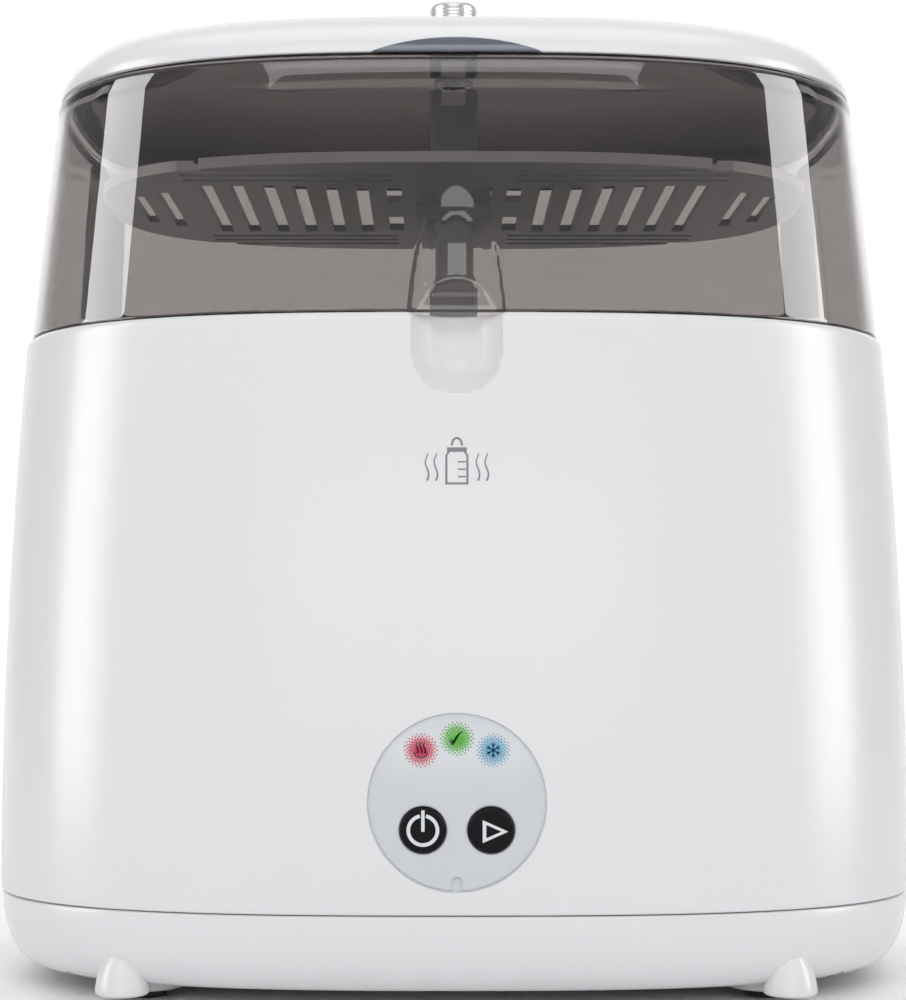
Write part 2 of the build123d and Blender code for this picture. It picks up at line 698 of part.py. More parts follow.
def lower_rack():
    rack = slab(RACK_HALF[0], RACK_HALF[1], RACK_Z, RACK_Z + 2.4)
    for cut in slots_across(RACK_Z, 20.0, 8, 24.0):
        rack -= cut
    for cut in slots_along(RACK_Z, (32.0, 46.0, 56.0), 14.0, 66.0):
        rack -= cut
    rack += block(-12.5, 12.5, -9.0, 9.0, RACK_Z, RACK_Z + 14)
    for x in (-PEG_X, 0, PEG_X):
        for y in (-PEG_Y, PEG_Y):
            rack += block(x - 1.2, x + 1.2, y - 7, y + 7, RACK_Z, PEG_TOP)
            rack += block(x - 7, x + 7, y - 1.2, y + 1.2, RACK_Z, PEG_TOP)
    for x, y in corners(92.0, 40.0):
        rack += rod(x, y, LINER_FLOOR_Z + LINER_WALL, RACK_Z + 1, 3.5)
    return rack - mast_hole(RACK_Z + 2.4, RACK_Z + 40, 0.0)


NOTCH_HALF = 4.2          # open notch in the top of the mast, below the steam outlet
NOTCH_Z = 293.7
DETENTS = 4
DETENT_Z = 218.0
DETENT_PITCH = 12.0


def mast():
    z0 = RACK_Z + 2.4
    column = mast_hole(z0, MAST_TOP_Z, 0.0)
    column = fillet(column.edges().filter_by(Axis.Z), 2.0)
    column = fillet(column.edges().group_by(Axis.Z)[-1], 1.5)
    column -= block(-NOTCH_HALF, NOTCH_HALF, -20, 20, NOTCH_Z, MAST_TOP_Z + 1)
    for i in range(DETENTS):
        foot_z = DETENT_Z + DETENT_PITCH * i
        column -= block(-9, -7.4, -3, 3, foot_z, foot_z + 2.4)
        column -= block(7.4, 9, -3, 3, foot_z, foot_z + 2.4)
    return column


# ---- write every sub-part ----------------------------------------------------------
PARTS = {
    "body_shell": body_shell, "base_pan": base_pan, "base_screws": base_screws,
    "chamber_liner": chamber_liner, "plate_seal": plate_seal,
    "heating_plate": heating_plate, "heat_spreader": heat_spreader,
    "heating_element": heating_element, "clamp_ring": clamp_ring,
    "clamp_screws": clamp_screws, "thermostat": thermostat, "thermal_fuse": thermal_fuse,
    "panel_disc": panel_disc, "control_board": control_board, "board_screws": board_screws,
    "key_switches": key_switches, "indicator_leds": indicator_leds,
    "power_board": power_board, "power_board_screws": power_board_screws,
    "power_relay": power_relay, "transformer": transformer, "terminal_block": terminal_block,
    "cord_gland": cord_gland, "gland_nut": gland_nut, "hinge_bracket": hinge_bracket,
    "hinge_pins": hinge_pins, "bracket_screws": bracket_screws, "lid_window": lid_window,
    "lid_cap": lid_cap, "vent_knob": vent_knob, "vent_gasket": vent_gasket,
    "vent_nut": vent_nut, "lid_hinge_arms": lid_hinge_arms, "lid_screws": lid_screws,
    "upper_tray": upper_tray, "lower_rack": lower_rack, "mast": mast,
}
for name, make in PARTS.items():
    write(name, make())

FEET = ["foot_rear_right", "foot_rear_left", "foot_front_left", "foot_front_right"]
for name, (x, y) in zip(FEET, corners(FOOT_X, FOOT_Y)):
    write(name, rubber_foot(x, y))
for name, (x, z) in LENSES.items():
    write(name, indicator_lens(x, z))
write("power_button", push_button(-1))
write("start_button", push_button(1))
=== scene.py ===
import math

import bmesh
import bpy
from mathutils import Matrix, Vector


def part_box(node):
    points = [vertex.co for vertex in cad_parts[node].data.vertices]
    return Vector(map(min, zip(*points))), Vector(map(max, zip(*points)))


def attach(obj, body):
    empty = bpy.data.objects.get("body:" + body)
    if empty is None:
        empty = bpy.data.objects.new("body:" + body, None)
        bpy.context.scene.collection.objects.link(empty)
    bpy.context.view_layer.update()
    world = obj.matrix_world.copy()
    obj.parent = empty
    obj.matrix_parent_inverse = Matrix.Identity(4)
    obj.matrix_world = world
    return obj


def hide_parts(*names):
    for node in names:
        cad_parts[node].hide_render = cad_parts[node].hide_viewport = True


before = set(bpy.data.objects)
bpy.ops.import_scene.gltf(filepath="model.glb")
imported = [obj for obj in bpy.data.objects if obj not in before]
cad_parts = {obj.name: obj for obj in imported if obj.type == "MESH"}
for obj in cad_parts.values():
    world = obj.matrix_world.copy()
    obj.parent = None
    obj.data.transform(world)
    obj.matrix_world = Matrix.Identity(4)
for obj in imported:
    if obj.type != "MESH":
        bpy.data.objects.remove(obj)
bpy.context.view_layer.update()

MM = 0.001

# ---- Camera -------------------------------------------------------------------------
# Level, at a third of the appliance's height, straight in front of it. The lens is raised in
# its mount, as on a view camera, so that upright edges stay upright.
shell_low, shell_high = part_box("body_shell")
MIDDLE_Y = (shell_low.y + shell_high.y) / 2
EYE_DISTANCE = 0.683
EYE_HEIGHT = 0.1107
EYE_LEFT = 0.0068
LENS_MM = 71.2
RISE = 0.140
CROSS = 0.0192

camera = bpy.data.objects.new("camera", bpy.data.cameras.new("camera"))
bpy.context.scene.collection.objects.link(camera)
camera.location = (-EYE_LEFT, MIDDLE_Y - EYE_DISTANCE, EYE_HEIGHT)
camera.rotation_euler = (math.radians(90), 0, 0)
camera.data.sensor_width = 36.0
camera.data.lens = LENS_MM
camera.data.shift_y = RISE
camera.data.shift_x = CROSS
camera.data.clip_start = 0.01
bpy.context.scene.camera = camera

# ---- White studio -------------------------------------------------------------------
# A pale sweep under and behind the appliance, lit by a key in front, a box overhead, a fill on
# each side and a wash on the wall. The side strips and the low lamp in front are only mirrored
# in the glossy faces, and two black cards at the back only show through the tinted cover.


def built(name, build):
    """Turn finished mesh work into an object of the scene."""
    mesh = bpy.data.meshes.new(name)
    build.to_mesh(mesh)
    build.free()
    obj = bpy.data.objects.new(name, mesh)
    bpy.context.scene.collection.objects.link(obj)
    return obj


def sweep_backdrop():
    """Floor that curves up into a wall behind the object."""
    bend = 0.6
    back = 1.6
    half_width = 2.6
    outline = [(-back, 0.0), (back - bend, 0.0)]
    for i in range(1, 13):
        turn = math.radians(90 * i / 12)
        outline.append((back - bend + bend * math.sin(turn), bend - bend * math.cos(turn)))
    outline.append((back, 2.6))
    build = bmesh.new()
    left = [build.verts.new((-half_width, y, z)) for y, z in outline]
    right = [build.verts.new((half_width, y, z)) for y, z in outline]
    for i in range(len(outline) - 1):
        build.faces.new((left[i], right[i], right[i + 1], left[i + 1]))
    obj = built("backdrop", build)
    obj.data.shade_smooth()
    return obj


backdrop = sweep_backdrop()
paper = bpy.data.materials.new("backdrop_paper")
paper.use_nodes = True
paper_shader = paper.node_tree.nodes["Principled BSDF"]
paper_shader.inputs["Base Color"].default_value = (0.92, 0.92, 0.925, 1)
paper_shader.inputs["Roughness"].default_value = 0.8
backdrop.data.materials.append(paper)


def soft_box(name, place, aim, width, height, power):
    lamp = bpy.data.lights.new(name, "AREA")
    lamp.shape = "RECTANGLE"
    lamp.size = width
    lamp.size_y = height
    lamp.energy = power
    obj = bpy.data.objects.new(name, lamp)
    bpy.context.scene.collection.objects.link(obj)
    obj.location = place
    obj.rotation_euler = (Vector(aim) - Vector(place)).to_track_quat("-Z", "Y").to_euler()
    obj.visible_camera = False
    return obj


def seen_only_by(lamp, diffuse, glossy):
    """Choose whether a lamp lights surfaces or is mirrored in them. Nothing see-through shows it."""
    lamp.visible_diffuse = diffuse
    lamp.visible_glossy = glossy
    lamp.visible_transmission = False


for side in (-1, 1):
    name = "left" if side < 0 else "right"
    strip = soft_box(name + "_strip", (side * 1.0, -0.285, 0.40), (0, 0, 0.30), 0.385, 1.1, 12.5)
    seen_only_by(strip, False, True)
    fill = soft_box(name + "_fill", (side * 1.1, -1.0, 0.7), (0, 0, 0.16), 0.8, 0.9, 2.7)
    seen_only_by(fill, True, False)
    wash = soft_box(name + "_wash", (side * 1.1, 0.9, 1.3), (side * 0.7, 1.6, 0.5), 0.9, 0.9, 9.0)
    seen_only_by(wash, True, False)
low_front = soft_box("low_front", (0, -1.9, 0.33), (0, 0, 0.25), 1.3, 0.26, 3.4)
seen_only_by(low_front, False, True)
soft_box("front_key", (0, -1.5, 1.35), (0, 0, 0.16), 1.5, 0.7, 9.3)
soft_box("top_box", (0, 0.1, 1.5), (0, 0, 0.2), 1.2, 0.9, 5.0)

CARD_BEHIND = 0.9
CARD_FOOT = 0.18
CARD_TOP = 0.72


def dark_card(name, x0, x1):
    """Upright black card behind the object that only shows through the tinted cover."""
    y = MIDDLE_Y + CARD_BEHIND
    build = bmesh.new()
    corners = [(x0, y, CARD_FOOT), (x1, y, CARD_FOOT), (x1, y, CARD_TOP), (x0, y, CARD_TOP)]
    build.faces.new([build.verts.new(corner) for corner in corners])
    card = built(name, build)
    card.visible_camera = False
    card.visible_diffuse = False
    card.visible_glossy = False
    card.visible_shadow = False
    card.data.materials.append(card_black)


card_black = bpy.data.materials.new("card_black")
card_black.use_nodes = True
card_black.node_tree.nodes["Principled BSDF"].inputs["Base Color"].default_value = (0.03, 0.03, 0.035, 1)
dark_card("left_card", -0.340, -0.281)
dark_card("right_card", 0.2975, 0.345)

world = bpy.data.worlds.new("studio_air")
world.use_nodes = True
world.node_tree.nodes["Background"].inputs["Color"].default_value = (0.95, 0.97, 1, 1)
world.node_tree.nodes["Background"].inputs["Strength"].default_value = 0.36
bpy.context.scene.world = world
bpy.context.scene.view_settings.view_transform = "Standard"

# ---- Body shell ---------------------------------------------------------------------
# The white housing: one tall injection moulding in high-gloss ABS, polished in the mould.
# Every level of it is the same squared oval. The front has a finger scoop at the rim and a
# round seat for the control panel, the rear a hole for the cord gland.
DEPTH_RATIO = 0.687
OVAL_POWER = 2.8
WIDEST_HALF = 151.0
WIDEST_Z = 42.0
SEAM_Z = 29.5
RIM_Z = 208.0
RIM_TAPER = 8.3
TAPER_POWER = 1.75
BODY_WALL = 2.6
RIM_ROUND = (1.6, 2.4)
SCOOP_FOOT_Z = 197.4
BODY_SCOOP = (-102.3, 14.1)
SCOOP_BLEND = 1.1


def column_turns():
    """Directions of the columns round an oval: close together across the front."""
    spacing = 0.8
    front_depth = 98.0
    fine_half = 36
    coarse_count = 150
    fine = [math.atan2(x * spacing, front_depth) for x in range(-fine_half, fine_half + 1)]
    edge = fine[-1]
    span = 2 * math.pi - 2 * edge
    coarse = [edge + span * (i + 1) / (coarse_count + 1) for i in range(coarse_count)]
    return [turn - math.pi / 2 for turn in fine + coarse]


TURNS = column_turns()


def oval(half_width, inset=0.0, z=0.0):
    """One level of an oval, in millimetres round the oval's own centre."""
    wide = half_width - inset
    deep = DEPTH_RATIO * half_width - inset
    ring = []
    for turn in TURNS:
        across = (abs(math.cos(turn)) / wide) ** OVAL_POWER
        along = (abs(math.sin(turn)) / deep) ** OVAL_POWER
        radius = (across + along) ** (-1 / OVAL_POWER)
        ring.append((radius * math.cos(turn), radius * math.sin(turn), z))
    return ring


def body_half(z):
    climb = max(0.0, (z - WIDEST_Z) / (RIM_Z - WIDEST_Z))
    return WIDEST_HALF - RIM_TAPER * climb ** TAPER_POWER


def body_scoop_radius(z, grow):
    size = BODY_SCOOP[1] + grow
    if z >= SCOOP_FOOT_Z:
        return size
    return math.sqrt(max(0.0, size ** 2 - (SCOOP_FOOT_Z - z) ** 2))


def pressed_in(ring, axis_y, radius):
    """Push the front of a ring back to a round recess, with a softened edge."""
    pushed = []
    for x, y, z in ring:
        if y < 0 and abs(x) < radius:
            floor = axis_y + math.sqrt(radius ** 2 - x ** 2)
            near = max(SCOOP_BLEND - abs(y - floor), 0.0) / SCOOP_BLEND
            y = max(y, floor) + near * near * SCOOP_BLEND / 4
        pushed.append((x, y, z))
    return pushed


def sealed(name, build):
    """Close up coincident corners, face every side outward and make the object."""
    bmesh.ops.remove_doubles(build, verts=build.verts, dist=1e-7)
    bmesh.ops.recalc_face_normals(build, faces=build.faces)
    return built(name, build)


def ring_mesh(name, rings, closed=False, poles=(None, None)):
    """Skin over rings of equal length, from outside up and over to inside.

    closed joins the last ring to the first; a pole closes an end at a point."""
    build = bmesh.new()
    rows = []
    for ring in rings:
        rows.append([build.verts.new((x * MM, MIDDLE_Y + y * MM, z * MM)) for x, y, z in ring])
    count = len(rows[0])
    pairs = list(zip(rows, rows[1:]))
    if closed:
        pairs.append((rows[-1], rows[0]))
    for low, high in pairs:
        for i in range(count):
            j = (i + 1) % count
            build.faces.new((low[i], low[j], high[j], high[i]))
    for end, row in zip(poles, (rows[0], rows[-1])):
        if end is None:
            continue
        tip = build.verts.new((end[0] * MM, MIDDLE_Y + end[1] * MM, end[2] * MM))
        for i in range(count):
            build.faces.new((row[i], row[(i + 1) % count], tip))
    return sealed(name, build)


def smooth(obj, crease=32):
    obj.data.shade_smooth()
    obj.data.set_sharp_from_angle(angle=math.radians(crease))
    return obj


def steps(start, stop, size):
    """Evenly spaced heights from start up to, but without, stop."""
    count = max(1, round((stop - start) / size))
    return [start + (stop - start) * i / count for i in range(count)]


def body_rings():
    rings = []
    foot_round = [(0.0, 1.0), (0.15, 0.45), (0.45, 0.12), (0.9, 0.0)]
    for rise, inset in foot_round:
        z = SEAM_Z + 0.3 + rise
        rings.append(oval(body_half(z), inset, z))
    heights = steps(32, 180, 6) + steps(180, RIM_Z - RIM_ROUND[1], 0.9)
    for z in heights:
        ring = oval(body_half(z), 0.0, z)
        rings.append(pressed_in(ring, BODY_SCOOP[0], body_scoop_radius(z, 0.0)))
    for i in range(6):
        turn = math.radians(90 * i / 5)
        z = RIM_Z - RIM_ROUND[1] * (1 - math.sin(turn))
        inset = RIM_ROUND[0] * (1 - math.cos(turn))
        ring = oval(body_half(z), inset, z)
        rings.append(pressed_in(ring, BODY_SCOOP[0], body_scoop_radius(z, inset)))
    for z in [RIM_Z - 0.4] + heights[::-1] + [SEAM_Z + 0.6]:
        ring = oval(body_half(z), BODY_WALL, z)
        rings.append(pressed_in(ring, BODY_SCOOP[0], body_scoop_radius(z, BODY_WALL)))
    return rings


def cut_away(obj, cutter):
    """Take the cutter's volume out of a piece for good."""
    knife = obj.modifiers.new("cut", "BOOLEAN")
    knife.operation = "DIFFERENCE"
    knife.solver = "EXACT"
    knife.object = cutter
    graph = bpy.context.evaluated_depsgraph_get()
    result = bpy.data.meshes.new_from_object(obj.evaluated_get(graph))
    obj.modifiers.clear()
    obj.data = result
    bpy.data.objects.remove(cutter)
    return obj


def lathe(name, outline, axis="Z", centre=(0, 0, 0), turns=72):
    """Turned piece: outline of (radius, distance along the axis), in millimetres.

    An axis of Y points out of the front, so a larger distance is further forward."""
    build = bmesh.new()
    rows = []
    for radius, along in outline:
        row = []
        for i in range(turns):
            angle = 2 * math.pi * i / turns
            a = radius * math.cos(angle)
            b = radius * math.sin(angle)
            point = (a, b, along) if axis == "Z" else (a, -along, b)
            row.append(build.verts.new([(c + p) * MM for c, p in zip(centre, point)]))
        rows.append(row)
    for low, high in zip(rows, rows[1:]):
        for i in range(turns):
            j = (i + 1) % turns
            build.faces.new((low[i], low[j], high[j], high[i]))
    if outline[0] != outline[-1]:
        build.faces.new(rows[0])
        build.faces.new(rows[-1])
    return sealed(name, build)


def polished(name, colour, roughness, ripple, wear=0.03, mirror=0.5):
    """Moulded, polished plastic: faint flow marks in colour and gloss, and a slow ripple."""
    material = bpy.data.materials.new(name)
    material.use_nodes = True
    nodes = material.node_tree.nodes
    links = material.node_tree.links
    shader = nodes["Principled BSDF"]
    place = nodes.new("ShaderNodeTexCoord")
    flow = nodes.new("ShaderNodeTexNoise")
    flow.inputs["Scale"].default_value = 9.0
    flow.inputs["Detail"].default_value = 3.0
    links.new(place.outputs["Object"], flow.inputs["Vector"])
    tone = nodes.new("ShaderNodeMapRange")
    tone.inputs["To Min"].default_value = 1.0 - wear
    tone.inputs["To Max"].default_value = 1.0
    links.new(flow.outputs["Fac"], tone.inputs["Value"])
    tint = nodes.new("ShaderNodeMix")
    tint.data_type = "RGBA"
    tint.blend_type = "MULTIPLY"
    tint.inputs["Factor"].default_value = 1.0
    tint.inputs["A"].default_value = (*colour, 1)
    links.new(tone.outputs["Result"], tint.inputs["B"])
    links.new(tint.outputs["Result"], shader.inputs["Base Color"])
    gloss = nodes.new("ShaderNodeTexNoise")
    gloss.inputs["Scale"].default_value = 140.0
    gloss.inputs["Detail"].default_value = 4.0
    links.new(place.outputs["Object"], gloss.inputs["Vector"])
    sheen = nodes.new("ShaderNodeMapRange")
    sheen.inputs["To Min"].default_value = roughness * 0.8
    sheen.inputs["To Max"].default_value = roughness * 1.25
    links.new(gloss.outputs["Fac"], sheen.inputs["Value"])
    links.new(sheen.outputs["Result"], shader.inputs["Roughness"])
    skin = nodes.new("ShaderNodeBump")
    skin.inputs["Strength"].default_value = ripple
    skin.inputs["Distance"].default_value = 0.0002
    links.new(gloss.outputs["Fac"], skin.inputs["Height"])
    links.new(skin.outputs["Normal"], shader.inputs["Normal"])
    shader.inputs["IOR"].default_value = 1.52
    shader.inputs["Specular IOR Level"].default_value = mirror
    return material


white_gloss = polished("white_gloss_abs", (0.86, 0.863, 0.87), 0.24, 0.03, mirror=0.24)


def middle_of(name):
    """Middle of a CAD node's box, in millimetres."""
    low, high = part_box(name)
    return [(a + b) / 2 / MM for a, b in zip(low, high)]


PANEL_Z = middle_of("panel_disc")[2]
PANEL_HOLE_R = 26.05
GLAND_HOLE_R = 6.3

body = ring_mesh("body_shell_skin", body_rings(), closed=True)
hole = [(PANEL_HOLE_R + 0.5, 120), (PANEL_HOLE_R + 0.5, 103.3), (PANEL_HOLE_R, 102.7), (PANEL_HOLE_R, 90)]
seat = lathe("panel_seat_cutter", hole, "Y", (0, MIDDLE_Y / MM, PANEL_Z), 144)
cut_away(body, seat)
gland_x, _, gland_z = middle_of("cord_gland")
gland_hole = [(GLAND_HOLE_R, -90), (GLAND_HOLE_R, -102.7), (9, -102.7), (9, -120)]
cut_away(body, lathe("gland_cutter", gland_hole, "Y", (gland_x, MIDDLE_Y / MM, gland_z)))
smooth(body)
body.data.materials.append(white_gloss)
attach(body, "housing")
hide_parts("body_shell")

# ---- Base pan -----------------------------------------------------------------------
# The bottom pan, moulded in the same gloss white. Its edge rolls under like a hull, and a
# boss with a flared root carries each rubber foot, with a rounded toe that stands out of the
# hull beside it. Four screw wells and two rows of air slots go through its floor.
SEAM_HALF = 150.6
HULL = [(5.2, 17.0), (5.35, 14.0), (5.9, 11.0), (7.2, 8.0), (9.2, 5.6), (11.8, 3.8), (15, 2.3),
        (19, 1.1), (24, 0.3), (28.4, 0.0), (29.1, 0.15), (29.4, 0.5), (29.5, 1.0)]
BASE_WALL = 2.6
SCREW_AT = (118.0, 66.0)
WELL_BORE = 3.3
WELL_R = 4.6
WELL_FOOT_Z = 10.0
WELL_TOP_Z = 14.0
TOE_AT = (101.5, 81.5)
TOE_R = 8.3
TOE_WIDEST_Z = 3.0
TOE_TALL = 14.5
SLOT_SIZE = (3.2, 24.0, 12.0)
SLOT_PITCH = 7.0
SLOT_ROW_X = 58.0
SLOT_ROW_Y = -46.0
SLOT_Z = 7.0


def base_rings():
    outer = [oval(SEAM_HALF, inset, z) for z, inset in HULL]
    inner = [oval(SEAM_HALF, inset + BASE_WALL, z) for z, inset in reversed(HULL[5:])]
    floor_z = HULL[0][0] + BASE_WALL
    inner.append(oval(SEAM_HALF, 12.0, floor_z))
    return outer + inner, floor_z


rings, floor_z = base_rings()
pan = ring_mesh("base_pan_skin", rings, poles=((0, 0, HULL[0][0]), (0, 0, floor_z)))


def join_into(target, others):
    """Make several meshes one piece, keeping each one's place."""
    build = bmesh.new()
    for obj in [target] + others:
        build.from_mesh(obj.data)
    build.to_mesh(target.data)
    build.free()
    for obj in others:
        bpy.data.objects.remove(obj)
    return target


bosses = []
feet = [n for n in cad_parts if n.startswith("foot_")]
for foot in feet:
    x, y, _ = middle_of(foot)
    flare = [(16.5, 6.2), (14.4, 5.3), (13.0, 4.9), (12.2, 4.2), (12.0, 3.4), (11.6, 2.95),
             (11.0, 2.8), (6.5, 2.8), (6.5, 4.6)]
    bosses.append(lathe("boss", flare, "Z", (x, y, 0), 64))
    toe = [(6.6, 2.9), (7.6, 3.1), (8.2, 3.7), (TOE_R, 4.6)]
    for z in (6, 7.5, 9, 10.5, 12, 13.5, 15, 16, 16.8, 17.3):
        toe.append((TOE_R * math.sqrt(1 - ((z - TOE_WIDEST_Z) / TOE_TALL) ** 2), z))
    toe_y = math.copysign(TOE_AT[1], y - MIDDLE_Y / MM) + MIDDLE_Y / MM
    bosses.append(lathe("toe", toe, "Z", (math.copysign(TOE_AT[0], x), toe_y, 0), 48))


def block(build, size, x, y, z):
    """Add a rectangular block, in millimetres, round the given middle."""
    made = bmesh.ops.create_cube(build, size=1.0)["verts"]
    bmesh.ops.scale(build, vec=[side * MM for side in size], verts=made)
    bmesh.ops.translate(build, vec=(x * MM, y * MM, z * MM), verts=made)


def vent_slots():
    """Air slots in the floor of the pan, in two rows of seven."""
    build = bmesh.new()
    for side in (-1, 1):
        for i in range(7):
            x = side * SLOT_ROW_X + (i - 3) * SLOT_PITCH
            block(build, SLOT_SIZE, x, MIDDLE_Y / MM + SLOT_ROW_Y, SLOT_Z)
    return built("vent_cutter", build)


cut_away(pan, vent_slots())
wells = []
for right in (-1, 1):
    for rear in (-1, 1):
        spot = (right * SCREW_AT[0], MIDDLE_Y / MM + rear * SCREW_AT[1], 0)
        cut_away(pan, lathe("well_cutter", [(WELL_BORE, 0), (WELL_BORE, WELL_TOP_Z)], "Z", spot, 40))
        tube = [(WELL_BORE, WELL_FOOT_Z), (WELL_BORE, WELL_TOP_Z), (WELL_R, WELL_TOP_Z),
                (WELL_R, WELL_FOOT_Z), (WELL_BORE, WELL_FOOT_Z)]
        wells.append(lathe("well", tube, "Z", spot, 40))
pan = join_into(pan, wells + bosses)
smooth(pan)
pan.data.materials.append(white_gloss)
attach(pan, "housing")
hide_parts("base_pan")

# ---- Rubber feet --------------------------------------------------------------------
# Four soft black pads pressed into the bosses: a rounded edge and a shallow dish below.
rubber = polished("foot_rubber", (0.018, 0.018, 0.019), 0.62, 0.35, 0.2)
pad = [(3.8, 0.5), (4.4, 0.05), (5.0, 0.0), (5.9, 0.12), (6.3, 0.55), (6.4, 1.1), (6.4, 4.5)]
for foot in feet:
    x, y, _ = middle_of(foot)
    piece = smooth(lathe(foot + "_pad", pad, "Z", (x, y, 0), 48))
    piece.data.materials.append(rubber)
    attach(piece, "housing")
    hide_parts(foot)

# ---- Lid window ---------------------------------------------------------------------
# The deep cover in clear smoke-tinted polycarbonate: an upright wall with the thumb recess, a
# rolled step under the cap and a dome inside the cap. It nests in the body's rim.
COVER_RIM_HALF = 141.3
CAP_Z = 287.2
CAP_HALF = 132.1
CAP_SHOULDER = 20.0
SHOULDER_SHARE = 0.661
CAP_CROWN = 4.0
CAP_LONG = 0.412
FLAT_SHARE = 0.68
HOLE_SHARE = 0.95
VENT_HOLE = 4.55
CAP_WALL = 2.4
COVER_WALL = 2.2
COVER_Z = RIM_Z + 0.3
LEDGE_Z = CAP_Z - 0.6
SKIRT_Z = 202.3
LEDGE_ROLL = 2.5
SKIRT_INSET = BODY_WALL + 1.0
DOME_INSET = CAP_WALL + 0.3
CROWN_Z = CAP_Z + CAP_SHOULDER + CAP_CROWN
COVER_SCOOP = (-107.9, 16.5, 59.0)
SCOOP_MARGIN = 6.0
LIP_EASE = 1.3
BED_EASE = 1.2
SILL_DEEP = 0.5
SILL_TALL = 6.8
SILL_SLOPE = 0.3
BOWL_TALL = 11.2
BOWL_SLOPE = 0.6


def sill_depth(rise):
    """How deep the recess may go at this height: a plain sill, then a bowl that eases off."""
    sill = SILL_DEEP + SILL_SLOPE * min(rise, SILL_TALL)
    bowl = min(max(0.0, rise - SILL_TALL), BOWL_TALL)
    return sill + BOWL_SLOPE * (bowl - bowl ** 2 / (2 * BOWL_TALL))


def thumb_recess(ring, z, inset):
    """Press the thumb recess into one level of the cover: a broad eased border, a round
    hollow, and a sloping sill at its foot that brings the lower edge forward again."""
    size = COVER_SCOOP[1] + inset
    reach = max(0.0, z - RIM_Z) / (COVER_SCOOP[2] + inset)
    radius = size * math.sqrt(max(0.0, 1 - reach ** 2))
    pushed = []
    for x, y, level in ring:
        if y < 0 and abs(x) < radius + SCOOP_MARGIN:
            depth = COVER_SCOOP[0] + math.sqrt(max(0.0, radius ** 2 - x ** 2)) - y
            if depth < -LIP_EASE:
                depth = 0.0
            elif depth < BED_EASE:
                depth = (depth + LIP_EASE) * BED_EASE / (LIP_EASE + BED_EASE)
            y += min(depth, sill_depth(max(0.0, z - COVER_Z)))
        pushed.append((x, y, level))
    return pushed


def cover_half(z):
    climb = (z - COVER_Z) / (LEDGE_Z - COVER_Z)
    return COVER_RIM_HALF + (CAP_HALF + 0.6 - COVER_RIM_HALF) * climb


def dome_point(share, z0, top_z):
    """Height of the dome where an oval has given up this share of its size."""
    shoulder = math.sqrt(max(0.0, 1 - max(0.0, 1 - share / SHOULDER_SHARE) ** 2))
    crown = 1 - (1 - share) ** 2
    return z0 + (top_z - z0) * (CAP_SHOULDER * shoulder + CAP_CROWN * crown) / (CAP_SHOULDER + CAP_CROWN)


def dome_place(x, y, share):
    """Where a point of an oval goes as the dome draws in; its last ring is the vent hole."""
    end = min(share, FLAT_SHARE)
    wide = 1 - CAP_LONG * end
    deep = 1 - end
    if share > FLAT_SHARE:
        close = (share - FLAT_SHARE) / (HOLE_SHARE - FLAT_SHARE)
        wide += (VENT_HOLE / CAP_HALF - wide) * close
        deep += (VENT_HOLE / CAP_HALF / DEPTH_RATIO - deep) * close
    return x * wide, y * deep


def dome_oval(half, share, z):
    return [(*dome_place(x, y, share), z) for x, y, _ in oval(half)]


SHARES = [0.0, 0.002, 0.006, 0.012, 0.02, 0.032, 0.05, 0.07, 0.1, 0.14, 0.18, 0.24, 0.32, 0.4, 0.5,
          0.6, 0.7, 0.8, 0.88, HOLE_SHARE]
SKIRT_GAP_HALF = 23.0
SKIRT_FADE = 3.0


def skirt_ring(inset, z):
    """Ring of the nesting skirt, which is left out at the finger scoop."""
    root_z = COVER_Z + 0.25
    ring = []
    for x, y, _ in oval(body_half(RIM_Z), inset, z):
        clear = min(1.0, max(0.0, (abs(x) - SKIRT_GAP_HALF) / SKIRT_FADE)) if y < 0 else 1.0
        ring.append((x, y, root_z - (root_z - z) * clear))
    return ring


def window_rings():
    rings = [skirt_ring(SKIRT_INSET, z) for z in (SKIRT_Z + 0.3, 204.0, 206.0, COVER_Z)]
    wall = [(COVER_Z, 0.7), (COVER_Z + 0.12, 0.3), (COVER_Z + 0.45, 0.06)]
    wall += [(z, 0.0) for z in steps(COVER_Z + 0.9, 252, 0.9) + steps(252, LEDGE_Z - LEDGE_ROLL, 4)]
    for z, inset in wall:
        rings.append(thumb_recess(oval(cover_half(z), inset, z), z, inset))
    for i in range(5):
        turn = math.radians(90 * i / 4)
        z = LEDGE_Z - LEDGE_ROLL * (1 - math.sin(turn))
        rings.append(oval(cover_half(z), LEDGE_ROLL * (1 - math.cos(turn)), z))
    half = CAP_HALF - DOME_INSET
    for share in SHARES:
        rings.append(dome_oval(half, share, dome_point(share, LEDGE_Z, CROWN_Z - DOME_INSET)))
    under = LEDGE_Z - COVER_WALL
    deep = DOME_INSET + COVER_WALL
    for share in reversed(SHARES):
        rings.append(dome_oval(CAP_HALF - deep, share, dome_point(share, under, CROWN_Z - deep)))
    for z, _ in reversed(wall):
        if z < under - 0.5:
            rings.append(thumb_recess(oval(cover_half(z), COVER_WALL, z), z, COVER_WALL))
    rings += [skirt_ring(SKIRT_INSET + COVER_WALL, z) for z in (COVER_Z, 206.0, 204.0, SKIRT_Z)]
    return rings


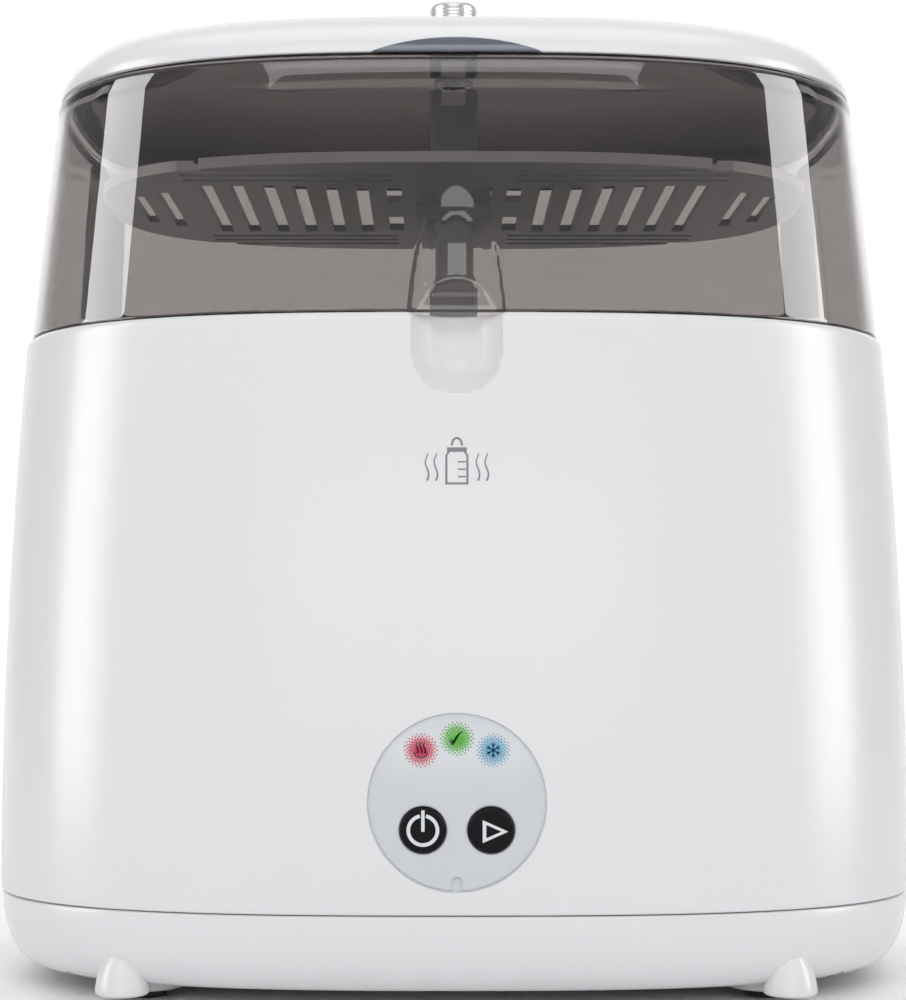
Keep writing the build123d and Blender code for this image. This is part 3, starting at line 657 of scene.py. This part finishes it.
def smoked(name, tint, roughness):
    """Clear plastic tinted in the mass, with a very faint haze of fine marks. Lamps shine
    through it as through a plain tinted pane."""
    material = bpy.data.materials.new(name)
    material.use_nodes = True
    nodes = material.node_tree.nodes
    links = material.node_tree.links
    shader = nodes["Principled BSDF"]
    shader.inputs["Base Color"].default_value = (*tint, 1)
    shader.inputs["Transmission Weight"].default_value = 1.0
    shader.inputs["IOR"].default_value = 1.5
    place = nodes.new("ShaderNodeTexCoord")
    marks = nodes.new("ShaderNodeTexNoise")
    marks.inputs["Scale"].default_value = 60.0
    marks.inputs["Detail"].default_value = 5.0
    links.new(place.outputs["Object"], marks.inputs["Vector"])
    haze = nodes.new("ShaderNodeMapRange")
    haze.inputs["To Min"].default_value = roughness * 0.6
    haze.inputs["To Max"].default_value = roughness * 1.4
    links.new(marks.outputs["Fac"], haze.inputs["Value"])
    links.new(haze.outputs["Result"], shader.inputs["Roughness"])
    clear = nodes.new("ShaderNodeBsdfTransparent")
    clear.inputs["Color"].default_value = (*[math.sqrt(c) for c in tint], 1)
    ray = nodes.new("ShaderNodeLightPath")
    mix = nodes.new("ShaderNodeMixShader")
    links.new(ray.outputs["Is Shadow Ray"], mix.inputs["Fac"])
    links.new(shader.outputs["BSDF"], mix.inputs[1])
    links.new(clear.outputs["BSDF"], mix.inputs[2])
    links.new(mix.outputs["Shader"], nodes["Material Output"].inputs["Surface"])
    return material


smoke = smoked("smoke_polycarbonate", (0.53, 0.50, 0.485), 0.01)
window = ring_mesh("lid_window_skin", window_rings(), closed=True)
smooth(window)
window.data.materials.append(smoke)
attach(window, "lid")
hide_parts("lid_window")

# ---- Lid cap ------------------------------------------------------------------------
# The white cap snapped over the dome, gloss ABS again. Its lower edge lifts in a low arc at
# the front, which leaves room for the thumb tab.
TAB_HALF = 25.8
TAB_RISE = 4.6


def edge_lift(x, y):
    """Height of the cap's lower edge above its plain level."""
    if y > 0 or abs(x) >= TAB_HALF:
        return 0.0
    radius = (TAB_HALF ** 2 + TAB_RISE ** 2) / (2 * TAB_RISE)
    return math.sqrt(radius ** 2 - x ** 2) - (radius - TAB_RISE)


def share_at(lift, full):
    """Share of the dome where it has risen by this much above its lower edge."""
    low, high = 0.0, 0.2
    for _ in range(24):
        middle = (low + high) / 2
        if dome_point(middle, 0.0, full) < lift:
            low = middle
        else:
            high = middle
    return (low + high) / 2


def cap_ring(half, z0, top_z, share):
    ring = []
    for x, y, _ in oval(half):
        lift = edge_lift(x, y)
        start = share_at(lift, top_z - z0) if lift > 0.02 else 0.0
        mine = start + (1 - start) * share
        ring.append((*dome_place(x, y, mine), dome_point(mine, z0, top_z)))
    return ring


def cap_rings():
    """From the rounded lower edge up the outside to the vent hole, and back down the inside."""
    edge = cap_ring(CAP_HALF, CAP_Z, CROWN_Z, 0.0)
    rings = [[(x * 0.9965, y * 0.9965, z - 0.12) for x, y, z in edge],
             [(x * 0.9993, y * 0.9993, z + 0.02) for x, y, z in edge]]
    for share in SHARES[1:]:
        rings.append(cap_ring(CAP_HALF, CAP_Z, CROWN_Z, share))
    for share in reversed(SHARES):
        rings.append(cap_ring(CAP_HALF - CAP_WALL, CAP_Z - 0.02, CROWN_Z - CAP_WALL, share))
    return rings


cap = ring_mesh("lid_cap_skin", cap_rings(), closed=True)
smooth(cap)
cap.data.materials.append(white_gloss)
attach(cap, "lid")
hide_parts("lid_cap")

# ---- Thumb tab ----------------------------------------------------------------------
# The lens-shaped patch that fills the arch in the cap's front edge. Its blue-grey colour is
# painted reflection: the light mirrored in the tinted dome, put into an opaque colour.
# It is fixed to the lid and marks where to lift.
TAB_FACE_INSET = 0.25
TAB_BACK_INSET = 1.7
TAB_GAP = 0.12
TAB_LEVELS = 10


def tab_rows():
    """Rows across the tab, up its outside and down its inside."""
    rim = oval(CAP_HALF)
    columns = [i for i, (x, y, _) in enumerate(rim) if y < 0 and abs(x) < TAB_HALF - 0.5]
    columns.sort(key=lambda i: rim[i][0])
    upward = range(TAB_LEVELS + 1)
    rows = []
    for inset, levels in ((TAB_FACE_INSET, upward), (TAB_BACK_INSET, reversed(upward))):
        around = oval(CAP_HALF - inset)
        top_z = CROWN_Z - inset
        for level in levels:
            row = []
            for i in columns:
                x, y, _ = around[i]
                lift = max(0.0, edge_lift(x, y) - TAB_GAP)
                share = share_at(lift * level / TAB_LEVELS, top_z - CAP_Z)
                row.append((*dome_place(x, y, share), dome_point(share, CAP_Z, top_z)))
            rows.append(row)
    return rows


def strip_mesh(name, rows):
    """Closed strip whose rows go round it and whose ends are capped."""
    build = bmesh.new()
    made = [[build.verts.new((x * MM, MIDDLE_Y + y * MM, z * MM)) for x, y, z in row] for row in rows]
    for low, high in zip(made, made[1:] + made[:1]):
        for i in range(len(low) - 1):
            build.faces.new((low[i], low[i + 1], high[i + 1], high[i]))
    for end in (0, -1):
        build.faces.new([row[end] for row in made])
    return sealed(name, build)


tab = smooth(strip_mesh("lid_thumb_tab", tab_rows()))
# The blue-grey colour is painted reflection of the light on the tinted dome.
tab.data.materials.append(polished("tab_painted_reflection", (0.135, 0.145, 0.19), 0.16, 0.02, mirror=0.6))
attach(tab, "lid")

# ---- Vent knob ----------------------------------------------------------------------
# A turned steel sleeve, chrome plated, over the steam outlet: fine turning rings round its
# side, a broken top edge and a shallow dish on top.
knob_low, knob_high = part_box("vent_knob")
KNOB_R = (knob_high.x - knob_low.x) / 2 / MM
KNOB_TOP = knob_high.z / MM
KNOB_FOOT = CROWN_Z - 0.9
KNOB_RING_PITCH = 1.1
KNOB_EDGE = 1.5


def knob_outline():
    outline = [(KNOB_R - 1.2, KNOB_FOOT), (KNOB_R - 0.3, KNOB_FOOT), (KNOB_R - 0.05, KNOB_FOOT + 0.4)]
    z = KNOB_FOOT + 1.2
    while z < KNOB_TOP - 2.6:
        outline += [(KNOB_R, z), (KNOB_R, z + 0.55), (KNOB_R - 0.07, z + 0.7), (KNOB_R, z + 0.85)]
        z += KNOB_RING_PITCH
    for i in range(7):
        turn = math.radians(90 * i / 6)
        radius = KNOB_R - KNOB_EDGE * (1 - math.cos(turn))
        outline.append((radius, KNOB_TOP - KNOB_EDGE * (1 - math.sin(turn))))
    return outline + [(KNOB_R - 2.4, KNOB_TOP), (KNOB_R - 2.9, KNOB_TOP - 0.35), (1.0, KNOB_TOP - 0.5)]


def plated(name, colour, roughness, along_z=True):
    """Bright plating with fine circular turning marks."""
    material = bpy.data.materials.new(name)
    material.use_nodes = True
    nodes = material.node_tree.nodes
    links = material.node_tree.links
    shader = nodes["Principled BSDF"]
    shader.inputs["Metallic"].default_value = 1.0
    place = nodes.new("ShaderNodeTexCoord")
    stretch = nodes.new("ShaderNodeMapping")
    stretch.inputs["Scale"].default_value = (20, 20, 2600) if along_z else (900, 900, 20)
    links.new(place.outputs["Object"], stretch.inputs["Vector"])
    marks = nodes.new("ShaderNodeTexNoise")
    marks.inputs["Scale"].default_value = 1.0
    marks.inputs["Detail"].default_value = 3.0
    links.new(stretch.outputs["Vector"], marks.inputs["Vector"])
    tone = nodes.new("ShaderNodeMix")
    tone.data_type = "RGBA"
    tone.inputs["A"].default_value = (*[c * 0.86 for c in colour], 1)
    tone.inputs["B"].default_value = (*colour, 1)
    links.new(marks.outputs["Fac"], tone.inputs["Factor"])
    links.new(tone.outputs["Result"], shader.inputs["Base Color"])
    gloss = nodes.new("ShaderNodeMapRange")
    gloss.inputs["To Min"].default_value = roughness * 0.7
    gloss.inputs["To Max"].default_value = roughness * 1.4
    links.new(marks.outputs["Fac"], gloss.inputs["Value"])
    links.new(gloss.outputs["Result"], shader.inputs["Roughness"])
    return material


chrome = plated("chrome_plate", (0.66, 0.665, 0.675), 0.3)
knob = smooth(lathe("vent_knob_turned", knob_outline(), "Z", (0, MIDDLE_Y / MM, 0), 96), 28)
knob.data.materials.append(chrome)
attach(knob, "lid")
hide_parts("vent_knob")

# ---- Control panel ------------------------------------------------------------------
# A pale grey disc set in the front with a fine shadow groove round it, a key notch at its
# foot and holes for the two buttons. The three lenses lie in its face.
PANEL_FACE = -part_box("panel_disc")[0].y / MM
PANEL_R = 25.6
PANEL_MOUTH = 6.95
KEY_FLOOR = PANEL_FACE - 0.9
KEY_HALF = 1.65
KEY_DROP = 23.2


def panel_piece():
    face = PANEL_FACE
    outline = [(1.0, 101.0), (PANEL_R + 0.44, 101.0), (PANEL_R + 0.44, face - 0.62),
               (PANEL_R + 0.1, face - 0.55), (PANEL_R + 0.06, face - 0.3), (PANEL_R - 0.08, face - 0.1),
               (PANEL_R - 0.4, face), (1.0, face)]
    disc = lathe("panel_disc_face", outline, "Y", (0, 0, PANEL_Z), 144)
    for name in ("power_button", "start_button"):
        x, _, z = middle_of(name)
        mouth = [(PANEL_MOUTH, 90), (PANEL_MOUTH, face - 0.35), (PANEL_MOUTH + 0.45, face + 0.1),
                 (PANEL_MOUTH + 0.45, 120)]
        cut_away(disc, lathe("mouth_cutter", mouth, "Y", (x, 0, z), 72))
    key = [(KEY_HALF, KEY_FLOOR), (KEY_HALF, 120)]
    key_z = PANEL_Z - KEY_DROP
    cut_away(disc, lathe("key_cutter", key, "Y", (0, 0, key_z), 40))
    build = bmesh.new()
    block(build, (2 * KEY_HALF, 10, 8), 0, -(KEY_FLOOR + 5), key_z - 4)
    return cut_away(disc, built("key_slot", build))


panel_grey = polished("panel_grey_abs", (0.70, 0.715, 0.74), 0.22, 0.05)
panel = smooth(panel_piece(), 28)
panel.data.materials.append(panel_grey)
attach(panel, "housing")
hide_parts("panel_disc")

# ---- Indicator lenses ---------------------------------------------------------------
# Three small dyed acrylic lenses flush in the panel, each with a printed sign and a border
# of printed dots that fades out into the panel.
LENS_R = 3.2
DOTS = 24
DOT_THICK = 0.1 * MM
OUTER_DOTS = {"Count": DOTS, "Thickness": DOT_THICK, "Radius": 3.45 * MM, "Pitch": 0.66 * MM,
              "Dot": 0.34 * MM, "Shrink": 0.84}
INNER_DOTS = {"Count": DOTS, "Thickness": DOT_THICK, "Radius": 2.86 * MM, "Pitch": -0.5 * MM,
              "Dot": 0.17 * MM, "Shrink": 0.65}


def flat_sign(name, shapes, x, z, front, back):
    """Thin solid signs from 2-D outlines, facing forward at (x, z)."""
    build = bmesh.new()
    for outline in shapes:
        face_side = [build.verts.new(((x + u) * MM, -front * MM, (z + v) * MM)) for u, v in outline]
        rear_side = [build.verts.new(((x + u) * MM, -back * MM, (z + v) * MM)) for u, v in outline]
        build.faces.new(face_side)
        build.faces.new(rear_side[::-1])
        for i in range(len(outline)):
            j = (i + 1) % len(outline)
            build.faces.new((face_side[i], rear_side[i], rear_side[j], face_side[j]))
    bmesh.ops.recalc_face_normals(build, faces=build.faces)
    return built(name, build)


def stroke(points, width, end_width=None):
    """Outline of a pen stroke along points, with square ends, from width to end_width."""
    end_width = width if end_width is None else end_width
    left, right = [], []
    for i, (x, y) in enumerate(points):
        x0, y0 = points[max(0, i - 1)]
        x1, y1 = points[min(len(points) - 1, i + 1)]
        length = math.hypot(x1 - x0, y1 - y0)
        half = (width + (end_width - width) * i / (len(points) - 1)) / 2
        nx, ny = (y0 - y1) / length * half, (x1 - x0) / length * half
        left.append((x + nx, y + ny))
        right.append((x - nx, y - ny))
    return left + right[::-1]


def arc_points(radius, start, stop, count, flat=1.0, lift=0.0):
    turns = [math.radians(start + (stop - start) * i / count) for i in range(count + 1)]
    return [(radius * math.cos(t), lift + flat * radius * math.sin(t)) for t in turns]


def steam_sign():
    shapes = []
    for x in (-1.05, 0.0, 1.05):
        wave = [(x + 0.28 * math.sin(6.5 * i / 14), -0.9 + 3.3 * i / 14) for i in range(15)]
        shapes.append(stroke(wave, 0.5, 0.5))
    shapes.append(stroke(arc_points(1.9, 180, 360, 18, 0.62, -0.9), 0.46))
    shapes.append(stroke([(-2.1, -0.9), (-1.45, -0.72)], 0.44))
    shapes.append(stroke([(1.45, -0.72), (2.1, -0.9)], 0.44))
    return shapes


def check_sign():
    return [stroke([(-1.88, -0.35), (-1.3, -1.55)], 0.66, 0.9),
            stroke([(-1.4, -1.8), (-0.8, -0.7), (-0.1, 0.45), (0.65, 1.4), (1.7, 2.2)], 0.84, 0.42)]


def snow_sign():
    shapes = []
    for i in range(6):
        turn = math.radians(30 + 60 * i)
        c, s = math.cos(turn), math.sin(turn)
        shapes.append(stroke([(0, 0), (2.25 * c, 2.25 * s)], 0.36))
        for lean in (-1, 1):
            tip = (1.95, 0.62 * lean)
            root = (1.2, 0.0)
            line = [(u * c - v * s, u * s + v * c) for u, v in (root, tip)]
            shapes.append(stroke(line, 0.3))
    return shapes


def dot_border_tree():
    """Three rings of small raised dots. Pitch leads from ring to ring; Shrink makes each one's
    dots smaller than the last one's."""
    tree = bpy.data.node_groups.new("dot_border", "GeometryNodeTree")
    face = tree.interface
    face.new_socket("Geometry", in_out="OUTPUT", socket_type="NodeSocketGeometry")
    wanted = (("Radius", "Float"), ("Pitch", "Float"), ("Count", "Int"), ("Dot", "Float"),
              ("Shrink", "Float"), ("Thickness", "Float"), ("Material", "Material"))
    for label, kind in wanted:
        face.new_socket(label, in_out="INPUT", socket_type="NodeSocket" + kind)
    nodes, links = tree.nodes, tree.links
    given = nodes.new("NodeGroupInput").outputs
    joined = nodes.new("GeometryNodeJoinGeometry")
    for row in range(3):
        reach = nodes.new("ShaderNodeMath")
        reach.operation = "MULTIPLY_ADD"
        reach.inputs[1].default_value = float(row)
        links.new(given["Pitch"], reach.inputs[0])
        links.new(given["Radius"], reach.inputs[2])
        ring = nodes.new("GeometryNodeMeshCircle")
        links.new(given["Count"], ring.inputs["Vertices"])
        links.new(reach.outputs["Value"], ring.inputs["Radius"])
        turn = nodes.new("GeometryNodeTransform")
        half_step = math.pi / DOTS if row % 2 else 0.0
        turn.inputs["Rotation"].default_value = (0, 0, half_step)
        links.new(ring.outputs["Mesh"], turn.inputs["Geometry"])
        fade = nodes.new("ShaderNodeMath")
        fade.operation = "POWER"
        fade.inputs[1].default_value = float(row)
        links.new(given["Shrink"], fade.inputs[0])
        size = nodes.new("ShaderNodeMath")
        size.operation = "MULTIPLY"
        links.new(given["Dot"], size.inputs[0])
        links.new(fade.outputs["Value"], size.inputs[1])
        disc = nodes.new("GeometryNodeMeshCylinder")
        disc.inputs["Vertices"].default_value = 10
        links.new(size.outputs["Value"], disc.inputs["Radius"])
        links.new(given["Thickness"], disc.inputs["Depth"])
        spread = nodes.new("GeometryNodeInstanceOnPoints")
        links.new(turn.outputs["Geometry"], spread.inputs["Points"])
        links.new(disc.outputs["Mesh"], spread.inputs["Instance"])
        links.new(spread.outputs["Instances"], joined.inputs["Geometry"])
    real = nodes.new("GeometryNodeRealizeInstances")
    coat = nodes.new("GeometryNodeSetMaterial")
    links.new(joined.outputs["Geometry"], real.inputs["Geometry"])
    links.new(real.outputs["Geometry"], coat.inputs["Geometry"])
    links.new(given["Material"], coat.inputs["Material"])
    links.new(coat.outputs["Geometry"], nodes.new("NodeGroupOutput").inputs["Geometry"])
    return tree


def grown(name, tree, values):
    """Evaluate a node tree with the values given by input name, as a plain mesh object."""
    obj = built(name, bmesh.new())
    growth = obj.modifiers.new("growth", "NODES")
    growth.node_group = tree
    for item in tree.interface.items_tree:
        if item.in_out == "INPUT" and item.name in values:
            growth[item.identifier] = values[item.name]
    graph = bpy.context.evaluated_depsgraph_get()
    result = bpy.data.meshes.new_from_object(obj.evaluated_get(graph))
    obj.modifiers.clear()
    obj.data = result
    return obj


def stand_up(obj, x, z, face):
    """Turn a flat pattern to face forward, and place it on the panel."""
    for vertex in obj.data.vertices:
        u, v, w = vertex.co
        vertex.co = (x * MM + u, -face * MM - w, z * MM + v)
    return obj


dots = dot_border_tree()
print_white = polished("print_white", (0.80, 0.82, 0.84), 0.35, 0.02)
LENS_LOOKS = {
    "steam_lens": ((0.62, 0.035, 0.085), (0.10, 0.004, 0.03), steam_sign()),
    "ready_lens": ((0.085, 0.46, 0.03), (0.0, 0.012, 0.01), check_sign()),
    "cooling_lens": ((0.145, 0.43, 0.62), (0.003, 0.03, 0.10), snow_sign()),
}
for lens, (colour, sign_colour, sign) in LENS_LOOKS.items():
    x, _, z = middle_of(lens)
    dye = polished(lens + "_acrylic", colour, 0.18, 0.01, 0.08)
    ink = polished(lens + "_ink", sign_colour, 0.4, 0.02, mirror=0.1)
    face = PANEL_FACE
    dome = [(0.5, 98.5), (LENS_R, 98.5), (LENS_R, face - 0.02), (LENS_R - 0.1, face + 0.04),
            (0.5, face + 0.05)]
    glass = smooth(lathe(lens + "_glass", dome, "Y", (x, 0, z), 72))
    glass.data.materials.append(dye)
    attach(glass, "housing")
    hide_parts(lens)
    mark = flat_sign(lens + "_sign", sign, x, z, face + 0.09, face)
    mark.data.materials.append(ink)
    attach(mark, "housing")
    outer_dots = grown(lens + "_dots", dots, {**OUTER_DOTS, "Material": dye})
    stand_up(outer_dots, x, z, face)
    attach(outer_dots, "housing")
    inner_dots = grown(lens + "_gaps", dots, {**INNER_DOTS, "Material": print_white})
    stand_up(inner_dots, x, z, face + 0.05)
    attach(inner_dots, "housing")

# ---- Buttons ------------------------------------------------------------------------
# Two black keys with a soft rounded edge. A power sign is printed on the left one, a start
# arrow on the right one. Each slides in its hole and presses a dome switch.
button_black = polished("button_black_abs", (0.007, 0.007, 0.009), 0.27, 0.04, 0.2, mirror=0.12)
POWER_SIGN = [stroke(arc_points(4.27, 102, 438, 60), 1.06), stroke([(0, -0.37), (0, 5.9)], 0.98)]
START_SIGN = [[(-2.5, 3.0), (4.97, -0.35), (3.0, -0.35), (-1.45, 1.62)],
              [(-2.5, 3.0), (-1.45, 1.62), (-1.45, -2.32), (-2.5, -3.7)],
              [(-2.5, -3.7), (-1.45, -2.32), (3.0, -0.35), (4.97, -0.35)]]
KEYS = (("power_button", "power_key", POWER_SIGN), ("start_button", "start_key", START_SIGN))
BUTTON_R = 6.7
for name, rider, sign in KEYS:
    low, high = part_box(name)
    x, _, z = middle_of(name)
    front = -low.y / MM
    back = -high.y / MM
    r = BUTTON_R
    turned = [(0.5, back), (2.0, back), (2.0, back + 5.6), (8.0, back + 5.6), (8.0, back + 6.8),
              (r, back + 6.8), (r, front - 0.75), (r - 0.08, front - 0.42), (r - 0.3, front - 0.18),
              (r - 0.7, front - 0.07), (r - 1.2, front - 0.05), (2.5, front - 0.16), (0.5, front - 0.18)]
    button = smooth(lathe(name + "_key", turned, "Y", (x, 0, z), 96))
    button.data.materials.append(button_black)
    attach(button, rider)
    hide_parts(name)
    mark = flat_sign(name + "_sign", sign, x, z, front - 0.02, front - 0.25)
    mark.data.materials.append(print_white)
    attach(mark, rider)

# ---- Printed sign on the front ------------------------------------------------------
# A small generic feeding bottle in grey, pad-printed on the body below the finger scoop.
SIGN_Z = 161.0


def bottle_sign():
    lift = -4.2
    side = [(3.1, 0), (3.1, 8.3), (2.2, 9.6)]
    outline = [(-x, y) for x, y in side] + [(x, y) for x, y in reversed(side)]
    shapes = [stroke([(x, y + lift) for x, y in outline[:3]], 0.62)]
    shapes.append(stroke([(x, y + lift) for x, y in outline[3:]], 0.62))
    shapes.append(stroke([(-3.4, lift), (3.4, lift)], 0.62))
    shapes.append(stroke([(-2.9, 10.0 + lift), (2.9, 10.0 + lift)], 1.3))
    shapes.append(stroke(arc_points(1.5, 0, 180, 14, 1.5, 11.2 + lift), 0.62))
    for i in range(3):
        shapes.append(stroke([(0.3, 2.0 + 2.2 * i + lift), (2.6, 2.0 + 2.2 * i + lift)], 0.45))
    for side_sign in (-1, 1):
        for away in (6.2, 8.8):
            wave = []
            for i in range(17):
                sway = 0.5 * math.sin(7 * i / 16)
                wave.append((side_sign * away + sway, lift + 0.8 + 8.2 * i / 16))
            shapes.append(stroke(wave, 0.55, 0.3))
    return shapes


print_grey = polished("print_grey", (0.23, 0.235, 0.25), 0.4, 0.02)
badge = flat_sign("front_print", bottle_sign(), 0, SIGN_Z, 0.06, -0.06)
for vertex in badge.data.vertices:
    z = vertex.co.z / MM
    depth = DEPTH_RATIO * body_half(z)
    across = (abs(vertex.co.x / MM) / body_half(z)) ** OVAL_POWER
    vertex.co.y += MIDDLE_Y - depth * (1 - across) ** (1 / OVAL_POWER) * MM
badge.data.materials.append(print_grey)
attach(badge, "housing")

# ---- Racks, liner and mast ----------------------------------------------------------
# Injection-moulded polypropylene inside the tank: a pegged lower rack, a slotted upper tray
# on a square mast, and the pale grey well that holds the bottles.


def wear(nodes_named, material):
    """Give carried-over pieces their finish."""
    for name in nodes_named:
        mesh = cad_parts[name].data
        mesh.materials.clear()
        mesh.materials.append(material)


tray_grey = polished("tray_grey_pp", (0.44, 0.445, 0.46), 0.34, 0.12, 0.06)
liner_grey = polished("liner_grey_pp", (0.62, 0.63, 0.65), 0.3, 0.1, 0.05)
wear(("upper_tray", "lower_rack"), tray_grey)
wear(("chamber_liner", "mast"), liner_grey)

# ---- Heater -------------------------------------------------------------------------
# A pressed steel plate clamped under the well, with an aluminium spreader, a tubular
# element, its thermostat and fuse.
steel = plated("brushed_steel", (0.60, 0.60, 0.61), 0.26, False)
aluminium = plated("cast_aluminium", (0.66, 0.67, 0.69), 0.42, False)
zinc = plated("zinc_plate", (0.62, 0.63, 0.62), 0.3)
silicone = polished("silicone_seal", (0.72, 0.72, 0.70), 0.55, 0.1)
black_plastic = polished("black_pbt", (0.02, 0.02, 0.022), 0.42, 0.1, 0.15)
wear(("heating_plate", "clamp_ring"), steel)
wear(("heat_spreader", "heating_element"), aluminium)
wear(("plate_seal", "vent_gasket"), silicone)
wear(("thermostat", "thermal_fuse"), black_plastic)

# ---- Electrical parts ---------------------------------------------------------------
# Two boards of green laminate with their relay, transformer, terminals, switches and lamps,
# and the cord gland in the rear wall with its nut.
board_green = polished("board_laminate", (0.012, 0.12, 0.045), 0.38, 0.2, 0.35)
relay_blue = polished("relay_case", (0.02, 0.09, 0.36), 0.4, 0.08, 0.1)
led_clear = polished("lamp_epoxy", (0.78, 0.79, 0.78), 0.15, 0.02)
wear(("control_board", "power_board"), board_green)
wear(("power_relay",), relay_blue)
wear(("indicator_leds",), led_clear)
wear(("transformer", "terminal_block", "key_switches", "cord_gland", "gland_nut"), black_plastic)

# ---- Hinge and screws ---------------------------------------------------------------
# White moulded bracket and arms, two steel pins, and zinc-plated pan-head screws.
wear(("hinge_bracket", "lid_hinge_arms"), white_gloss)
wear(("hinge_pins", "vent_nut"), steel)
wear(("base_screws", "board_screws", "bracket_screws", "clamp_screws", "lid_screws",
      "power_board_screws"), zinc)
